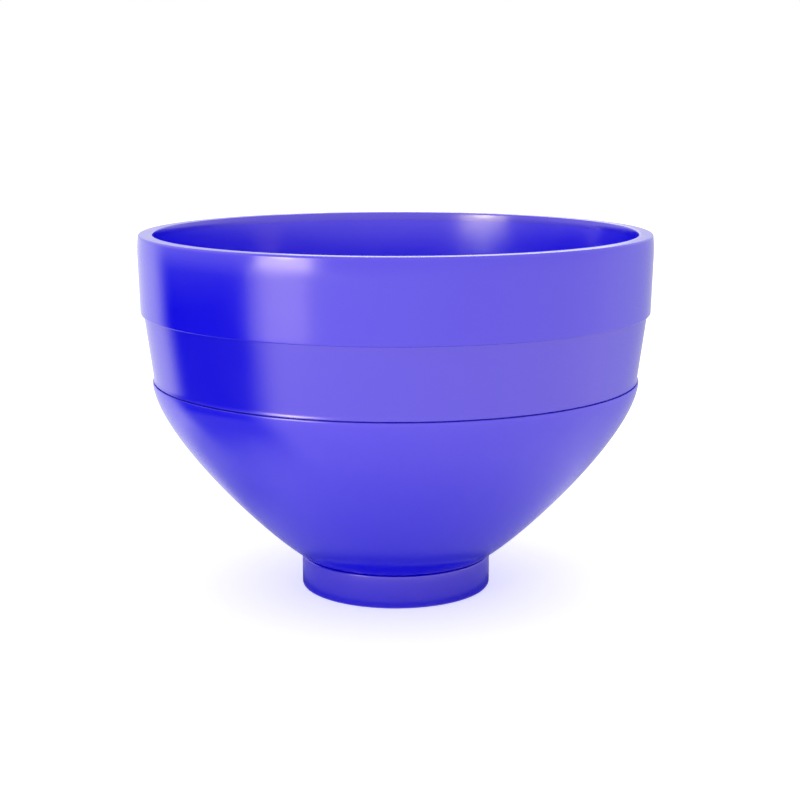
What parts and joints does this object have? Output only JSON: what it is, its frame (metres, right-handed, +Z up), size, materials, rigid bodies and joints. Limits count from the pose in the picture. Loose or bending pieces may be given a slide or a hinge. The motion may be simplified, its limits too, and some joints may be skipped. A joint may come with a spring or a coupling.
{
  "type": "rubber mixing bowl",
  "caption": "Flexible rubber mixing bowl with a thick banded rim, a tapered grip band, a round lower wall and a narrow foot, for mixing plaster or putty by hand.",
  "frame": {"origin": "on the bowl's axis, in the plane of the flat ring that the foot stands on", "axes": "+Z up along the bowl's axis, out of its mouth; X and Y are free, because the bowl is round"},
  "size_m": [0.13, 0.13, 0.092],
  "materials": {
    "cup_rubber": "satin",
    "rim_rubber": "satin",
    "grip_rubber": "satin",
    "shell_rubber": "satin",
    "foot_rubber": "satin"
  },
  "bodies": {
    "root": {"inner_cup": "cup_rubber", "rim_band": "rim_rubber", "grip_band": "grip_rubber", "lower_shell": "shell_rubber", "foot_ring": "foot_rubber"}
  },
  "joints": []
}
